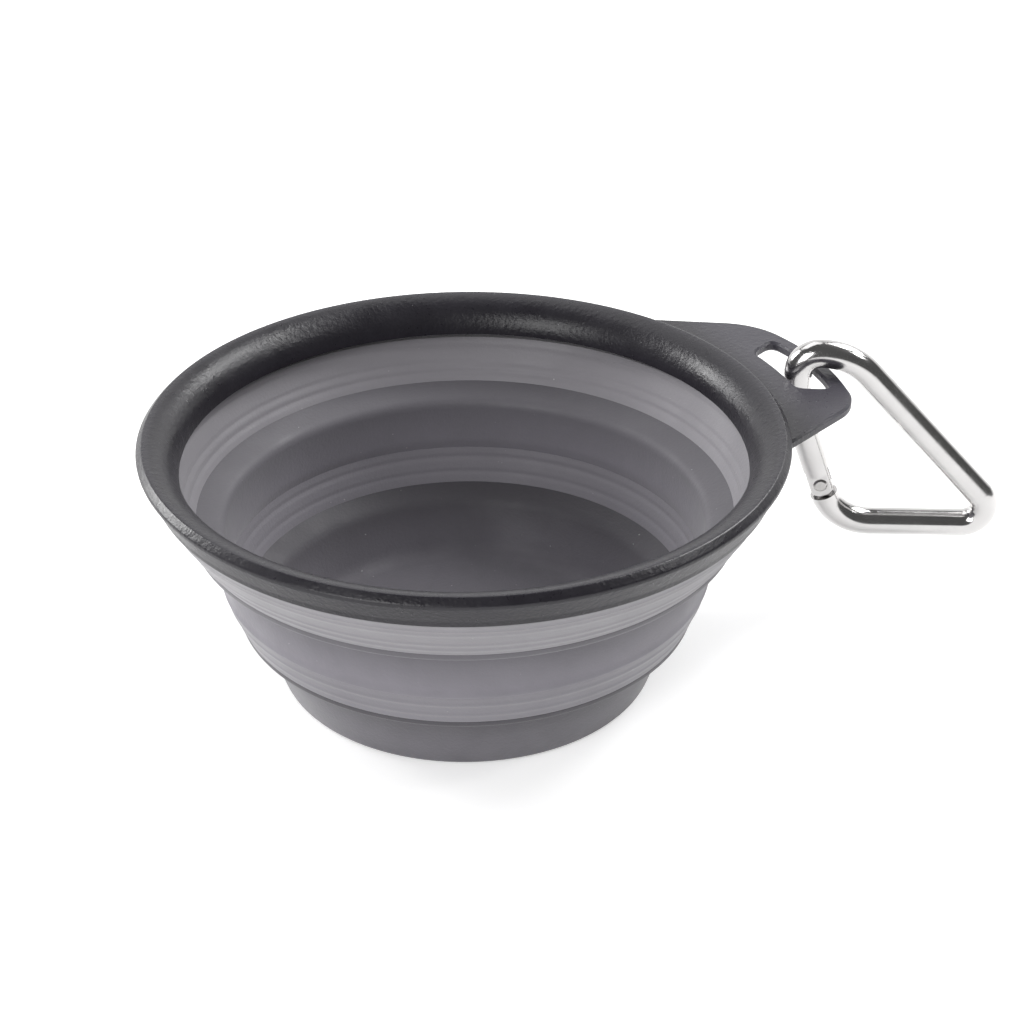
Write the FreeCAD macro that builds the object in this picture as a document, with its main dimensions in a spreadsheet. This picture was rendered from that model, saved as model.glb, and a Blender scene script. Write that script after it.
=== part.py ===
import FreeCAD
import Part
import Sketcher
import math
import os

# Collapsible pet travel bowl: a silicone cup with two thin fold webs, a hard rim with a slotted
# hang tab, and a sprung-gate clip that hangs on the tab.  The bowl stands on z = 0 with its axis
# on Z, and the tab points along +X.

doc = FreeCAD.newDocument("TravelBowl")

# ---------------------------------------------------------------- driving sizes, in mm and degrees
sheet = doc.addObject("Spreadsheet::Sheet", "Size")
SIZES = [
    # hard rim
    ("rim_width", 7.6),
    ("rim_draft", 1.2),
    ("rim_height", 6.1),
    ("rim_inner_radius", 56.9),
    ("rim_depth", 7.3),
    ("rim_land_width", 1.3),
    ("rim_roll_radius", 7.4),
    ("rim_edge_round", 0.45),
    # groove in the rim's underside and the silicone key that fills it
    ("key_inset", 3.3),
    ("key_width", 1.8),
    ("key_height", 2.4),
    # hang tab
    ("tab_length", 17.7),
    ("tab_shoulder_step", 7.5),
    ("tab_shoulder_y", 25.0),
    ("tab_root_angle", 33.4),
    ("tab_bury", 1.5),
    ("tab_tip_half", 13.6),
    ("tab_tip_radius", 55.0),
    ("tab_shoulder_radius", 17.0),
    ("tab_drop", 2.0),
    ("tab_thick", 2.2),
    ("tab_round", 0.8),
    ("strap_width", 3.3),
    ("slot_land", 7.1),
    ("slot_inner_half", 9.2),
    ("slot_outer_half", 12.4),
    ("slot_corner_round", 2.0),
    # silicone walls
    ("wall_thick", 1.8),
    ("web_thick", 1.5),
    ("collar_height", 1.9),
    ("collar_step", 1.1),
    ("collar_flare", 1.2),
    ("upper_web_height", 8.3),
    ("upper_web_spread", 5.2),
    ("lip_height", 2.0),
    ("lip_step", 4.9),
    ("ring_height", 13.8),
    ("lower_web_height", 6.9),
    ("lower_web_spread", 3.4),
    ("cup_lip_height", 1.7),
    ("cup_lip_step", 3.2),
    ("cup_flare", 5.2),
    ("cup_height", 16.5),
    ("floor_thick", 2.2),
    ("cup_foot_round", 1.6),
    ("lip_round", 0.7),
    # clip: round bar bent to an offset D
    ("bar_radius", 3.0),
    ("clip_turn", -26.0),
    ("clip_tilt", 4.0),
    ("clip_slot_gap", 0.45),
    ("clip_side_y", -5.7),
    ("clip_lift", 1.15),
    ("nose_bend_radius", 4.45),
    ("nose_shift", 6.8),
    ("nose_length", 9.3),
    ("arch_radius", 14.0),
    ("spine_angle", 48.2),
    ("spine_length", 40.0),
    ("heel_bend_radius", 4.6),
    ("hinge_bend_radius", 11.0),
    ("hinge_bend_x", 11.3),
    ("tongue_thick", 2.4),
    ("tongue_root", 1.0),
    ("knuckle_half", 2.3),
    ("knuckle_flat", 1.9),
    # gate
    ("gate_radius", 2.85),
    ("gate_angle", 19.3),
    ("gate_length", 20.6),
    ("gate_slot_play", 0.2),
    ("gate_fork_depth", 3.4),
    ("gate_flat", 2.15),
    ("gate_flat_length", 2.4),
    ("gate_end_round", 0.35),
    ("rivet_rise", 3.3),
    ("gate_mouth_depth", 4.6),
    ("rivet_radius", 0.95),
    ("rivet_play", 0.06),
    ("rivet_head_radius", 1.55),
    ("rivet_head_height", 0.4),
    ("latch_pin_radius", 0.65),
    ("latch_pin_inset", 1.9),
    ("latch_play", 0.12),
    ("nose_blade_width", 2.5),
    ("nose_blade_reach", 3.6),
    ("nose_gap", 0.5),
    ("bore_radius", 1.25),
    ("bore_depth", 9.0),
    ("plunger_radius", 1.1),
    ("plunger_length", 3.0),
    ("plunger_play", 0.03),
    ("spring_wire_radius", 0.17),
    ("spring_pitch", 0.95),
]
for row, (alias, number) in enumerate(SIZES, start=1):
    sheet.set("A%d" % row, alias)
    sheet.set("B%d" % row, repr(number))
    sheet.setAlias("B%d" % row, alias)
doc.recompute()

# radii and places that follow the bowl's opening, each a step in or out from its neighbour
FOLLOWS = {
    "rim_top_radius": "(rim_inner_radius + rim_width)",
    "rim_foot_radius": "(rim_top_radius - rim_draft)",
    "key_mean_radius": "(rim_inner_radius + key_inset)",
    "collar_outer_radius": "(rim_foot_radius - collar_step)",
    "collar_foot_radius": "(collar_outer_radius - collar_flare)",
    "lip_radius": "(collar_foot_radius - upper_web_spread)",
    "ring_radius": "(lip_radius - lip_step)",
    "cup_lip_radius": "(ring_radius - lower_web_spread)",
    "cup_top_radius": "(cup_lip_radius - cup_lip_step)",
    "cup_foot_radius": "(cup_top_radius - cup_flare)",
    "tab_reach": "(rim_top_radius + tab_length)",
    "tab_shoulder_x": "(rim_top_radius + tab_shoulder_step)",
    "tab_root_x": "(rim_top_radius * cos(tab_root_angle))",
    "tab_root_y": "(rim_top_radius * sin(tab_root_angle))",
    "slot_inner_radius": "(rim_top_radius + slot_land)",
}


def size(alias):
    return value(alias)


def value(expression):
    result = sheet.evalExpression(bind(expression))
    return float(getattr(result, "Value", result))


def bind(expression):
    """Write a formula of size names as a document expression."""
    text = ""
    word = ""
    for letter in expression + " ":
        if letter.isalnum() or letter == "_":
            word += letter
            continue
        if word in FOLLOWS:
            text += bind(FOLLOWS[word])
        else:
            text += "Size." + word if word in ALIASES else word
        text += letter
        word = ""
    return text.strip()


ALIASES = {alias for alias, number in SIZES}


# ---------------------------------------------------------------- modelling helpers
def new_body(name):
    body = doc.addObject("PartDesign::Body", name)
    body.Label = name
    return body


def origin_item(body, role):
    for item in body.Origin.OriginFeatures:
        if item.Role == role:
            return item
    raise ValueError("no origin feature " + role)


def new_sketch(body, name, role, lift=None, axis="z"):
    sketch = body.newObject("Sketcher::SketchObject", name)
    sketch.AttachmentSupport = [(origin_item(body, role), "")]
    sketch.MapMode = "FlatFace"
    if lift is not None:
        sketch.setExpression("AttachmentOffset.Base." + axis, bind(lift))
    return sketch


def fix_point(sketch, geometry, position, point):
    """Hold a sketch point at a pair of formulas measured from the sketch's origin."""
    for kind, formula in zip(("DistanceX", "DistanceY"), point):
        number = sketch.addConstraint(
            Sketcher.Constraint(kind, -1, 1, geometry, position, value(formula)))
        sketch.setExpression("Constraints[%d]" % number, bind(formula))


def arc_through(start, end, radius, side):
    """Anticlockwise arc between two points; side is +1 where it bulges left of the chord."""
    first = FreeCAD.Vector(start[0], start[1], 0)
    last = FreeCAD.Vector(end[0], end[1], 0)
    chord = last - first
    left = FreeCAD.Vector(-chord.y, chord.x, 0)
    left.normalize()
    depth = math.sqrt(max(radius ** 2 - (chord.Length / 2) ** 2, 1e-9))
    centre = (first + last) / 2 - left * side * depth
    bulge = centre + left * side * radius
    return Part.Arc(last, bulge, first) if side > 0 else Part.Arc(first, bulge, last)


def outline(sketch, points, arcs=None):
    """Closed outline.  points are pairs of formulas; arcs maps a side's number to its radius
    formula and side, and every other side is straight."""
    arcs = arcs or {}
    count = len(points)
    places = [(value(x), value(y)) for x, y in points]
    ends = []
    for index in range(count):
        start = places[index]
        end = places[(index + 1) % count]
        if index in arcs:
            radius, side = arcs[index]
            geometry = sketch.addGeometry(arc_through(start, end, value(radius), side), False)
            ends.append((geometry, 2, 1) if side > 0 else (geometry, 1, 2))
            number = sketch.addConstraint(
                Sketcher.Constraint("Radius", geometry, value(radius)))
            sketch.setExpression("Constraints[%d]" % number, bind(radius))
        else:
            line = Part.LineSegment(FreeCAD.Vector(start[0], start[1], 0),
                                    FreeCAD.Vector(end[0], end[1], 0))
            ends.append((sketch.addGeometry(line, False), 1, 2))
    for index in range(count):
        here = ends[index]
        following = ends[(index + 1) % count]
        sketch.addConstraint(
            Sketcher.Constraint("Coincident", here[0], here[2], following[0], following[1]))
        fix_point(sketch, here[0], here[1], points[index])


def circle(sketch, x, y, radius):
    geometry = sketch.addGeometry(
        Part.Circle(FreeCAD.Vector(value(x), value(y), 0), FreeCAD.Vector(0, 0, 1), value(radius)),
        False)
    fix_point(sketch, geometry, 3, (x, y))
    number = sketch.addConstraint(Sketcher.Constraint("Radius", geometry, value(radius)))
    sketch.setExpression("Constraints[%d]" % number, bind(radius))


def revolve(body, name, points, arcs=None):
    sketch = new_sketch(body, name + "_section", "XZ_Plane")
    outline(sketch, points, arcs)
    turned = body.newObject("PartDesign::Revolution", name)
    turned.Profile = sketch
    turned.ReferenceAxis = (sketch, ["V_Axis"])
    turned.Angle = 360
    doc.recompute()
    return turned


def pad(body, name, sketch, length, midplane=False, reverse=False):
    block = body.newObject("PartDesign::Pad", name)
    block.Profile = sketch
    block.setExpression("Length", bind(length))
    block.Midplane = midplane
    block.Reversed = reverse
    doc.recompute()
    return block


def pocket(body, name, sketch, length, midplane=False, reverse=False):
    """Pocket whose cut is proved by the volume it takes away."""
    before = body.Shape.Volume
    cut = body.newObject("PartDesign::Pocket", name)
    cut.Profile = sketch
    cut.setExpression("Length", bind(length))
    cut.Midplane = midplane
    cut.Reversed = reverse
    doc.recompute()
    if body.Shape.Volume > before - 1e-3:
        raise ValueError(name + " cuts nothing")
    return cut


def rounded(body, name, feature, edges, radius):
    rounding = body.newObject("PartDesign::Fillet", name)
    rounding.Base = (feature, edges)
    rounding.setExpression("Radius", bind(radius))
    doc.recompute()
    return rounding


def hoops(feature, places):
    """Names of the feature's circular edges at the given radius and height formulas."""
    wanted = [(value(radius), value(height)) for radius, height in places]
    names = []
    for number, edge in enumerate(feature.Shape.Edges, start=1):
        if not isinstance(edge.Curve, Part.Circle):
            continue
        middle = edge.Curve.Center
        if math.hypot(middle.x, middle.y) > 1e-4:
            continue
        for radius, height in wanted:
            if abs(edge.Curve.Radius - radius) < 1e-3 and abs(middle.z - height) < 1e-3:
                names.append("Edge%d" % number)
    if len(names) < len(wanted):
        raise ValueError("edges missing on " + feature.Name)
    return names


# ---------------------------------------------------------------- heights up the bowl
cup_top_z = "cup_height"
ring_foot_z = "(cup_height + lower_web_height)"
lip_top_z = "(%s + ring_height)" % ring_foot_z
collar_foot_z = "(%s + upper_web_height)" % lip_top_z
rim_throat_z = "(%s + collar_height)" % collar_foot_z
rim_top_z = "(%s + rim_depth)" % rim_throat_z
rim_foot_z = "(%s - rim_height)" % rim_top_z

bodies = {}

# ---------------------------------------------------------------- base cup: floor, wall and lip
cup = new_body("base_cup")
bodies["base_cup"] = cup
cup_lip_z = "(%s - cup_lip_height)" % cup_top_z
cup_points = [
    ("0", "0"),
    ("cup_foot_radius", "0"),
    ("cup_top_radius", cup_lip_z),
    ("cup_lip_radius", "(%s + 0.4 * cup_lip_height)" % cup_lip_z),
    ("cup_lip_radius", cup_top_z),
    ("(cup_lip_radius - web_thick)", cup_top_z),
    ("(cup_top_radius - wall_thick)", "(%s - 0.4 * cup_lip_height)" % cup_lip_z),
    ("(cup_foot_radius - wall_thick)", "floor_thick"),
    ("0", "floor_thick"),
]
cup_turned = revolve(cup, "cup_wall", cup_points)
rounded(cup, "cup_foot", cup_turned, hoops(cup_turned, [("cup_foot_radius", "0")]),
        "cup_foot_round")

# ---------------------------------------------------------------- lower fold web
lower_fold = new_body("lower_fold")
bodies["lower_fold"] = lower_fold
revolve(lower_fold, "lower_web", [
    ("cup_lip_radius", cup_top_z),
    ("ring_radius", ring_foot_z),
    ("(ring_radius - web_thick)", ring_foot_z),
    ("(cup_lip_radius - web_thick)", cup_top_z),
])

# ---------------------------------------------------------------- middle ring: wall and top lip
ring = new_body("middle_ring")
bodies["middle_ring"] = ring
lip_foot_z = "(%s - lip_height)" % lip_top_z
ring_turned = revolve(ring, "ring_wall", [
    ("ring_radius", ring_foot_z),
    ("ring_radius", lip_foot_z),
    ("lip_radius", "(%s + 0.3 * lip_height)" % lip_foot_z),
    ("lip_radius", lip_top_z),
    ("(lip_radius - web_thick)", lip_top_z),
    ("(ring_radius - wall_thick)", lip_foot_z),
    ("(ring_radius - wall_thick)", "(%s + wall_thick)" % ring_foot_z),
    ("(ring_radius - web_thick)", ring_foot_z),
])
rounded(ring, "ring_lip", ring_turned,
        hoops(ring_turned, [("lip_radius", "(%s + 0.3 * lip_height)" % lip_foot_z)]), "lip_round")

# ---------------------------------------------------------------- upper fold web
upper_fold = new_body("upper_fold")
bodies["upper_fold"] = upper_fold
revolve(upper_fold, "upper_web", [
    ("lip_radius", lip_top_z),
    ("collar_foot_radius", collar_foot_z),
    ("(collar_foot_radius - web_thick)", collar_foot_z),
    ("(lip_radius - web_thick)", lip_top_z),
])

# ---------------------------------------------------------------- silicone collar bonded in the rim
collar = new_body("silicone_collar")
bodies["silicone_collar"] = collar
key_in = "(key_mean_radius - key_width / 2)"
key_out = "(key_mean_radius + key_width / 2)"
key_top_z = "(%s + key_height)" % rim_throat_z
revolve(collar, "collar_band", [
    ("rim_inner_radius", rim_throat_z),
    ("(collar_foot_radius - web_thick)", collar_foot_z),
    ("collar_foot_radius", collar_foot_z),
    ("collar_outer_radius", rim_throat_z),
    (key_out, rim_throat_z),
    (key_out, key_top_z),
    (key_in, key_top_z),
    (key_in, rim_throat_z),
])

# ---------------------------------------------------------------- hard rim with its hang tab
rim = new_body("rim_frame")
bodies["rim_frame"] = rim
rim_turned = revolve(rim, "rim_ring", [
    ("rim_inner_radius", rim_throat_z),
    (key_in, rim_throat_z),
    (key_in, key_top_z),
    (key_out, key_top_z),
    (key_out, rim_throat_z),
    ("collar_outer_radius", rim_throat_z),
    ("rim_foot_radius", rim_foot_z),
    ("rim_top_radius", rim_top_z),
    ("(rim_top_radius - rim_land_width)", rim_top_z),
], {8: ("rim_roll_radius", -1)})
rim_rounded = rounded(rim, "rim_edge", rim_turned,
                      hoops(rim_turned, [("rim_top_radius", rim_top_z)]), "rim_edge_round")

tab_top_z = "(%s - tab_drop)" % rim_top_z
tab_foot_z = "(%s - tab_thick)" % tab_top_z
tab_sketch = new_sketch(rim, "tab_outline", "XY_Plane", tab_foot_z)
tab_root_in = "(rim_top_radius - rim_land_width - tab_bury)"
tip_x = "(tab_reach - tab_tip_radius + sqrt(tab_tip_radius ^ 2 - tab_tip_half ^ 2))"
outline(tab_sketch, [
    ("(tab_root_x * %s / rim_top_radius)" % tab_root_in, "(-tab_root_y)"),
    ("tab_root_x", "(-tab_root_y)"),
    ("tab_shoulder_x", "(-tab_shoulder_y)"),
    (tip_x, "(-tab_tip_half)"),
    (tip_x, "tab_tip_half"),
    ("tab_shoulder_x", "tab_shoulder_y"),
    ("tab_root_x", "tab_root_y"),
    ("(tab_root_x * %s / rim_top_radius)" % tab_root_in, "tab_root_y"),
], {2: ("tab_shoulder_radius", -1), 3: ("tab_tip_radius", -1),
    4: ("tab_shoulder_radius", -1), 7: ("rim_inner_radius + 3.5", 1)})
tab = pad(rim, "tab", tab_sketch, "tab_thick")

# slot through the tab: the strap left outside it keeps the tip's curve
slot_sketch = new_sketch(rim, "slot_outline", "XY_Plane", tab_foot_z)
slot_in_x = "sqrt(slot_inner_radius ^ 2 - slot_inner_half ^ 2)"
strap_in_radius = "(tab_tip_radius - strap_width)"
slot_out_x = "(tab_reach - tab_tip_radius + sqrt(%s ^ 2 - slot_outer_half ^ 2))" % strap_in_radius
outline(slot_sketch, [
    (slot_in_x, "(-slot_inner_half)"),
    (slot_out_x, "(-slot_outer_half)"),
    (slot_out_x, "slot_outer_half"),
    (slot_in_x, "slot_inner_half"),
], {1: (strap_in_radius, -1), 3: ("slot_inner_radius", 1)})
slot = pocket(rim, "slot", slot_sketch, "tab_thick", reverse=True)


def upright_edges(feature, places):
    """Names of the feature's vertical edges at the given pairs of formulas."""
    wanted = [(value(x), value(y)) for x, y in places]
    names = []
    for number, edge in enumerate(feature.Shape.Edges, start=1):
        middle = edge.CenterOfMass
        box = edge.BoundBox
        if box.ZLength < 0.5 or box.XLength + box.YLength > 1e-4:
            continue
        if any(math.hypot(middle.x - x, middle.y - y) < 1e-3 for x, y in wanted):
            names.append("Edge%d" % number)
    if len(names) != len(wanted):
        raise ValueError("upright edges missing on " + feature.Name)
    return names


slot_corners = upright_edges(slot, [
    (slot_in_x, "(-slot_inner_half)"),
    (slot_out_x, "(-slot_outer_half)"),
    (slot_out_x, "slot_outer_half"),
    (slot_in_x, "slot_inner_half"),
])
slot_rounded = rounded(rim, "slot_corners", slot, slot_corners, "slot_corner_round")


def tab_rim_edges(feature):
    """Names of the tab's flat-face edges that lie outside the rim ring."""
    levels = (value(tab_foot_z), value(tab_top_z))
    names = []
    for number, edge in enumerate(feature.Shape.Edges, start=1):
        box = edge.BoundBox
        if box.ZLength > 1e-4 or min(abs(box.ZMin - level) for level in levels) > 1e-3:
            continue
        middle = edge.valueAt((edge.FirstParameter + edge.LastParameter) / 2)
        if math.hypot(middle.x, middle.y) > size("rim_top_radius") + 1:
            names.append("Edge%d" % number)
    return names


rounded(rim, "tab_rounds", slot_rounded, tab_rim_edges(slot_rounded), "tab_round")

# ---------------------------------------------------------------- clip body: bent round bar
clip = new_body("clip_body")
bodies["clip_body"] = clip
base_y = "(-%s)" % (
    "(arch_radius * (1 - cos(spine_angle)) + spine_length * sin(spine_angle)"
    " + heel_bend_radius * (1 + cos(spine_angle)))")
nose_start_y = "(-nose_bend_radius - nose_length)"

# points in the clip's plane given along the gate (up) and across it (towards the spine)
gate_up = ("(-sin(gate_angle))", "cos(gate_angle)")
gate_in = ("cos(gate_angle)", "sin(gate_angle)")
rivet_x = "(hinge_bend_x - hinge_bend_radius * cos(gate_angle) - rivet_rise * sin(gate_angle))"
rivet_y = "(%s + hinge_bend_radius * (1 - sin(gate_angle)) + rivet_rise * cos(gate_angle))" % base_y


def by_gate(up, across):
    """Pair of formulas for the point up the gate and across it from the rivet."""
    return ("(%s + (%s) * %s + (%s) * %s)" % (rivet_x, up, gate_up[0], across, gate_in[0]),
            "(%s + (%s) * %s + (%s) * %s)" % (rivet_y, up, gate_up[1], across, gate_in[1]))


def clip_path(body):
    """Centre line of the bar from nose to hinge, each run and bend tangent to the next."""
    sketch = new_sketch(body, "bar_path", "XY_Plane")
    angle = math.radians(size("spine_angle"))
    along = FreeCAD.Vector(math.cos(angle), -math.sin(angle), 0)
    right = FreeCAD.Vector(along.y, -along.x, 0)
    apex = FreeCAD.Vector(size("nose_bend_radius") - size("nose_shift"), 0, 0)
    nose_top = FreeCAD.Vector(-size("nose_shift"), -size("nose_bend_radius"), 0)
    nose_end = FreeCAD.Vector(nose_top.x, value(nose_start_y), 0)
    nose_middle = FreeCAD.Vector(apex.x, -size("nose_bend_radius"), 0)
    nose_half = nose_middle + FreeCAD.Vector(-1, 1, 0).normalize() * size("nose_bend_radius")
    arch_centre = apex - FreeCAD.Vector(0, size("arch_radius"), 0)
    arch_end = arch_centre - right * size("arch_radius")
    arch_half = arch_centre + FreeCAD.Vector(
        math.sin(angle / 2), math.cos(angle / 2), 0) * size("arch_radius")
    spine_end = arch_end + along * size("spine_length")
    heel_centre = spine_end + right * size("heel_bend_radius")
    heel_end = heel_centre - FreeCAD.Vector(0, size("heel_bend_radius"), 0)
    heel_half = heel_centre + FreeCAD.Vector(
        math.cos(angle / 2), -math.sin(angle / 2), 0) * size("heel_bend_radius")
    base_end = FreeCAD.Vector(size("hinge_bend_x"), heel_end.y, 0)
    lean = math.radians(size("gate_angle"))
    hinge_centre = base_end + FreeCAD.Vector(0, size("hinge_bend_radius"), 0)
    hinge_end = hinge_centre - FreeCAD.Vector(
        math.cos(lean), math.sin(lean), 0) * size("hinge_bend_radius")
    hinge_turn = math.radians(45) + lean / 2
    hinge_half = hinge_centre - FreeCAD.Vector(
        math.cos(hinge_turn), math.sin(hinge_turn), 0) * size("hinge_bend_radius")

    nose = sketch.addGeometry(Part.LineSegment(nose_end, nose_top), False)
    bend = sketch.addGeometry(Part.Arc(apex, nose_half, nose_top), False)
    arch = sketch.addGeometry(Part.Arc(arch_end, arch_half, apex), False)
    spine = sketch.addGeometry(Part.LineSegment(arch_end, spine_end), False)
    heel = sketch.addGeometry(Part.Arc(heel_end, heel_half, spine_end), False)
    base = sketch.addGeometry(Part.LineSegment(heel_end, base_end), False)
    hinge = sketch.addGeometry(Part.Arc(hinge_end, hinge_half, base_end), False)

    def tie(kind, *arguments, formula=None):
        if formula is None:
            sketch.addConstraint(Sketcher.Constraint(kind, *arguments))
            return
        number = sketch.addConstraint(Sketcher.Constraint(kind, *arguments, value(formula)))
        sketch.setExpression("Constraints[%d]" % number, bind(formula))

    # the bends run anticlockwise, so the bar enters each at its end (2) and leaves at its start (1)
    tie("Vertical", nose)
    fix_point(sketch, nose, 1, ("(-nose_shift)", nose_start_y))
    tie("Tangent", nose, 2, bend, 2)
    fix_point(sketch, bend, 1, ("(nose_bend_radius - nose_shift)", "0"))
    tie("Radius", bend, formula="nose_bend_radius")
    tie("Tangent", bend, 1, arch, 2)
    tie("Radius", arch, formula="arch_radius")
    tie("Tangent", arch, 1, spine, 1)
    tie("Distance", spine, formula="spine_length")
    fix_point(sketch, base, 2, ("hinge_bend_x", base_y))
    tie("Tangent", spine, 2, heel, 2)
    tie("Radius", heel, formula="heel_bend_radius")
    tie("Tangent", heel, 1, base, 1)
    tie("Horizontal", base)
    tie("Tangent", base, 2, hinge, 2)
    fix_point(sketch, hinge, 1, by_gate("-rivet_rise", "0"))
    return sketch


path = clip_path(clip)
section = new_sketch(clip, "bar_section", "XZ_Plane", "(nose_bend_radius + nose_length)")
circle(section, "(-nose_shift)", "0", "bar_radius")
bar = clip.newObject("PartDesign::AdditivePipe", "bar")
bar.Profile = section
bar.Spine = (path, ["Edge%d" % number for number in range(1, 8)])
doc.recompute()

# the nose ends square to the closed gate
nose_cut = new_sketch(clip, "nose_cut_outline", "XY_Plane")
outline(nose_cut, [
    by_gate("gate_length + nose_gap", "-2 * bar_radius"),
    by_gate("gate_length + nose_gap - 3 * bar_radius", "-2 * bar_radius"),
    by_gate("gate_length + nose_gap - 3 * bar_radius", "2 * bar_radius"),
    by_gate("gate_length + nose_gap", "2 * bar_radius"),
])
pocket(clip, "nose_cut", nose_cut, "4 * bar_radius", midplane=True)

# hooked blade under the nose: the gate's pin lies on its inner side
pin_up = "(gate_length - latch_pin_inset)"
pin_across = "(latch_pin_radius + latch_play)"
hook_top = "(%s - latch_pin_radius - latch_play)" % pin_up
blade = new_sketch(clip, "nose_blade_outline", "XY_Plane")
outline(blade, [
    by_gate("gate_length + nose_gap + 0.5 * bar_radius", "0"),
    by_gate("gate_length + nose_gap + 0.5 * bar_radius", "-nose_blade_width"),
    by_gate("gate_length - nose_blade_reach", "-nose_blade_width"),
    by_gate("gate_length - nose_blade_reach", pin_across),
    by_gate(hook_top, pin_across),
    by_gate(hook_top, "0"),
])
pad(clip, "nose_blade", blade, "tongue_thick", midplane=True)

# tongue on the other end of the bar, thin enough to sit in the gate's fork
tongue = new_sketch(clip, "tongue_outline", "XY_Plane")
outline(tongue, [
    by_gate("-rivet_rise - tongue_root", "knuckle_half"),
    by_gate("-rivet_rise - tongue_root", "-knuckle_half"),
    by_gate("knuckle_flat", "-knuckle_half"),
    by_gate("knuckle_flat", "knuckle_half"),
])
pad(clip, "tongue", tongue, "tongue_thick", midplane=True)
rivet_hole = new_sketch(clip, "rivet_hole_outline", "XY_Plane")
circle(rivet_hole, rivet_x, rivet_y, "(rivet_radius + rivet_play)")
pocket(clip, "rivet_hole", rivet_hole, "4 * bar_radius", midplane=True)

# ---------------------------------------------------------------- gate, in its own frame: rivet at 0, up +Y
gate = new_body("clip_gate")
bodies["clip_gate"] = gate
gate_section = new_sketch(gate, "gate_section", "XZ_Plane", "gate_radius")
circle(gate_section, "0", "0", "gate_radius")
gate_rod = pad(gate, "gate_rod", gate_section, "gate_length + gate_radius", reverse=True)
gate_top = [
    "Edge%d" % number
    for number, edge in enumerate(gate_rod.Shape.Edges, start=1)
    if edge.BoundBox.YMin > size("gate_length") - 1e-3
]
rounded(gate, "gate_end", gate_rod, gate_top, "gate_end_round")
heel_cut = new_sketch(gate, "gate_heel_outline", "XY_Plane")
outline(heel_cut, [
    ("(-gate_radius)", "0"),
    ("gate_radius", "0"),
    ("(1.5 * gate_radius)", "0"),
    ("(1.5 * gate_radius)", "(-1.5 * gate_radius)"),
    ("(-1.5 * gate_radius)", "(-1.5 * gate_radius)"),
    ("(-1.5 * gate_radius)", "0"),
], {0: ("gate_radius", -1)})
pocket(gate, "gate_heel", heel_cut, "4 * gate_radius", midplane=True)
fork_half = "(tongue_thick / 2 + gate_slot_play)"
for name, low, high in (
        ("gate_fork", "(-2 * gate_radius)", "gate_fork_depth"),
        ("gate_mouth", "(gate_length - gate_mouth_depth)", "(gate_length + gate_radius)")):
    slit = new_sketch(gate, name + "_outline", "YZ_Plane")
    outline(slit, [
        (low, "(-%s)" % fork_half),
        (high, "(-%s)" % fork_half),
        (high, fork_half),
        (low, fork_half),
    ])
    pocket(gate, name, slit, "4 * gate_radius", midplane=True)
for name, sign in (("flat_front", ""), ("flat_back", "-")):
    flat = new_sketch(gate, name + "_outline", "YZ_Plane")
    outline(flat, [
        ("(-2 * gate_radius)", "(%sgate_flat)" % sign),
        ("gate_flat_length", "(%sgate_flat)" % sign),
        ("gate_flat_length", "(%s2 * gate_radius)" % sign),
        ("(-2 * gate_radius)", "(%s2 * gate_radius)" % sign),
    ])
    pocket(gate, name, flat, "4 * gate_radius", midplane=True)
bore_end = "(gate_fork_depth + bore_depth)"
bore = new_sketch(gate, "spring_bore_outline", "XZ_Plane")
circle(bore, "0", "0", "bore_radius")
pocket(gate, "spring_bore", bore, bore_end)
for name, x, y, radius in (
        ("rivet_bore", "0", "0", "rivet_radius"),
        ("pin_bore", pin_across, pin_up, "latch_pin_radius")):
    cross = new_sketch(gate, name + "_outline", "XY_Plane")
    circle(cross, x, y, radius)
    pocket(gate, name, cross, "4 * gate_radius", midplane=True)

# ---------------------------------------------------------------- rivet, latch pin, plunger and spring
rivet = new_body("gate_rivet")
bodies["gate_rivet"] = rivet
head_top = "(gate_flat + rivet_head_height)"
revolve(rivet, "rivet_turned", [
    ("0", "(-%s)" % head_top),
    ("(rivet_head_radius - rivet_head_height)", "(-%s)" % head_top),
    ("rivet_head_radius", "(-gate_flat)"),
    ("rivet_radius", "(-gate_flat)"),
    ("rivet_radius", "gate_flat"),
    ("rivet_head_radius", "gate_flat"),
    ("(rivet_head_radius - rivet_head_height)", head_top),
    ("0", head_top),
])
pin = new_body("latch_pin")
bodies["latch_pin"] = pin
pin_section = new_sketch(pin, "pin_section", "XY_Plane")
circle(pin_section, "0", "0", "latch_pin_radius")
pad(pin, "pin_rod", pin_section, "2 * gate_flat", midplane=True)
plunger = new_body("gate_plunger")
bodies["gate_plunger"] = plunger
revolve(plunger, "plunger_turned", [
    ("0", "0"),
    ("plunger_radius", "plunger_radius"),
    ("plunger_radius", "plunger_length"),
    ("0", "plunger_length"),
], {0: ("plunger_radius", -1)})
spring = new_body("gate_spring")
bodies["gate_spring"] = spring
plunger_start = "(knuckle_flat + plunger_play)"
spring_start = "(%s + plunger_length + spring_wire_radius)" % plunger_start
spring_height = "(%s - spring_wire_radius - %s)" % (bore_end, spring_start)
wire_section = new_sketch(spring, "wire_section", "XZ_Plane")
circle(wire_section, "(bore_radius - 1.5 * spring_wire_radius)", "0", "spring_wire_radius")
coil = spring.newObject("PartDesign::AdditiveHelix", "coil")
coil.Profile = wire_section
coil.ReferenceAxis = (wire_section, ["V_Axis"])
coil.Mode = 0
coil.setExpression("Pitch", bind("spring_pitch"))
coil.setExpression("Height", bind(spring_height))
doc.recompute()

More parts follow.
